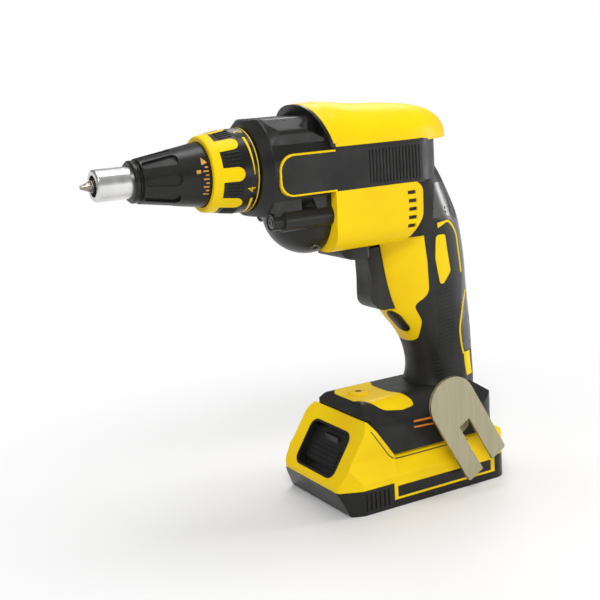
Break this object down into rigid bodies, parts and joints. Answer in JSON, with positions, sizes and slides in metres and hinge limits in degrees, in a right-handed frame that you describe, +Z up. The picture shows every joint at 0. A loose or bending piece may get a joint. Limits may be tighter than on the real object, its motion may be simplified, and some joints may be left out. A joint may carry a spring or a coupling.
{
  "type": "drywall screwdriver",
  "caption": "Cordless pistol-grip drywall screwdriver with depth-setting nose collar, bit clutch, slide battery pack and steel belt hook.",
  "frame": {"origin": "on the base of the battery pack, in the tool's middle plane, 57.5 mm behind the pack's front edge", "axes": "+X to the rear of the tool so that the bit points along -X, +Y to the user's right, +Z up"},
  "size_m": [0.2386, 0.0814, 0.231],
  "materials": {
    "yellow_plastic": "satin moulded yellow",
    "black_plastic": "satin black",
    "black_rubber": "overmoulded soft grip",
    "charcoal_plastic": "matt charcoal",
    "case_metal": "satin black cast case",
    "bright_steel": "satin",
    "tool_steel": "dark machined",
    "hook_steel": "brushed",
    "screw_steel": "dark zinc",
    "bronze": "sintered",
    "winding": "enamelled wire",
    "circuit_board": "board",
    "cell_wrap": "wrapped cells",
    "lens": "clear lens"
  },
  "bodies": {
    "housing": {"housing_left": "yellow_plastic", "housing_right": "yellow_plastic", "grip_left": "black_rubber", "grip_right": "black_rubber", "housing_screws": "screw_steel", "gear_case": "case_metal", "gear_case_screws": "screw_steel", "gear_case_plate": "tool_steel", "spindle_front_bush": "bronze", "spindle_rear_bush": "bronze", "collar_clip": "tool_steel", "clutch_spring": "bright_steel", "stator_core": "tool_steel", "stator_coils": "winding", "sensor_board": "circuit_board", "motor_front_bearing": "tool_steel", "motor_rear_bearing": "tool_steel", "switch_module": "black_plastic", "trigger_spring": "bright_steel", "lock_spring": "bright_steel", "control_module": "black_plastic", "terminal_block": "black_plastic", "work_light": "lens", "belt_hook": "hook_steel", "belt_hook_screw": "screw_steel"},
    "trigger": {"trigger": "charcoal_plastic"},
    "direction_lever": {"direction_lever": "charcoal_plastic"},
    "lock_on_button": {"lock_on_button": "black_plastic"},
    "depth_collar": {"depth_collar": "black_plastic", "collar_grip_band": "yellow_plastic"},
    "depth_sleeve": {"adjusting_sleeve": "black_plastic"},
    "nose": {"nose_cone": "black_plastic", "nosepiece": "bright_steel", "cone_o_ring": "black_rubber"},
    "clutch_carriage": {"thrust_washer": "tool_steel"},
    "spindle": {"spindle": "tool_steel", "bit_holder": "tool_steel", "holder_magnet": "tool_steel", "bit": "tool_steel"},
    "drive_gear": {"drive_gear": "tool_steel"},
    "rotor": {"pinion": "tool_steel", "rotor_shaft": "tool_steel", "rotor_core": "tool_steel", "motor_fan": "black_plastic"},
    "battery": {"pack_lower_case": "black_plastic", "pack_upper_case": "yellow_plastic", "pack_screws": "screw_steel", "battery_cells": "cell_wrap", "cell_holders": "black_plastic", "cell_straps": "bright_steel", "pack_board": "circuit_board", "pack_terminals": "bright_steel", "recess_liner": "black_plastic"},
    "pack_latch": {"pack_latch": "black_plastic"}
  },
  "joints": [
    {"name": "trigger_slide", "type": "slide", "parent": "housing", "child": "trigger", "axis": [1, 0, 0], "range_m": [0, 0.007], "stiffness_N_per_m": 1200, "springref_m": -0.005, "deforming": ["trigger_spring"]},
    {"name": "direction_slide", "type": "slide", "parent": "housing", "child": "direction_lever", "axis": [0, 1, 0], "range_m": [-0.004, 0.004]},
    {"name": "lock_slide", "type": "slide", "parent": "housing", "child": "lock_on_button", "axis": [1, 0, 0], "range_m": [0, 0.0025], "stiffness_N_per_m": 800, "springref_m": -0.002, "deforming": ["lock_spring"]},
    {"name": "depth_turn", "type": "hinge", "parent": "housing", "child": "depth_collar", "pos_m": [-0.1, 0, 0.198], "axis": [1, 0, 0], "range_deg": [-135, 135]},
    {"name": "depth_slide", "type": "slide", "parent": "housing", "child": "depth_sleeve", "axis": [1, 0, 0], "range_m": [-0.003, 0.003]},
    {"name": "nose_pull", "type": "slide", "parent": "depth_sleeve", "child": "nose", "axis": [-1, 0, 0], "range_m": [0, 0.07]},
    {"name": "clutch_press", "type": "slide", "parent": "housing", "child": "clutch_carriage", "axis": [1, 0, 0], "range_m": [0, 0.0026], "stiffness_N_per_m": 2500, "springref_m": -0.004, "deforming": ["clutch_spring"]},
    {"name": "spindle_spin", "type": "hinge", "parent": "clutch_carriage", "child": "spindle", "pos_m": [-0.1, 0, 0.198], "axis": [1, 0, 0], "continuous": true},
    {"name": "gear_spin", "type": "hinge", "parent": "housing", "child": "drive_gear", "pos_m": [-0.058, 0, 0.198], "axis": [1, 0, 0], "continuous": true},
    {"name": "rotor_spin", "type": "hinge", "parent": "housing", "child": "rotor", "pos_m": [-0.026, 0, 0.1719], "axis": [1, 0, 0], "continuous": true},
    {"name": "battery_slide", "type": "slide", "parent": "housing", "child": "battery", "axis": [-1, 0, 0], "range_m": [0, 0.115]},
    {"name": "latch_slide", "type": "slide", "parent": "battery", "child": "pack_latch", "axis": [-0.5463, 0, -0.8376], "range_m": [0, 0.004], "stiffness_N_per_m": 1500, "springref_m": -0.003}
  ],
  "couplings": [
    {"joint": "depth_slide", "follows": "depth_turn", "m_per_rad": 0.0012732},
    {"joint": "spindle_spin", "follows": "gear_spin", "ratio": 1},
    {"joint": "rotor_spin", "follows": "gear_spin", "ratio": -4.8}
  ]
}
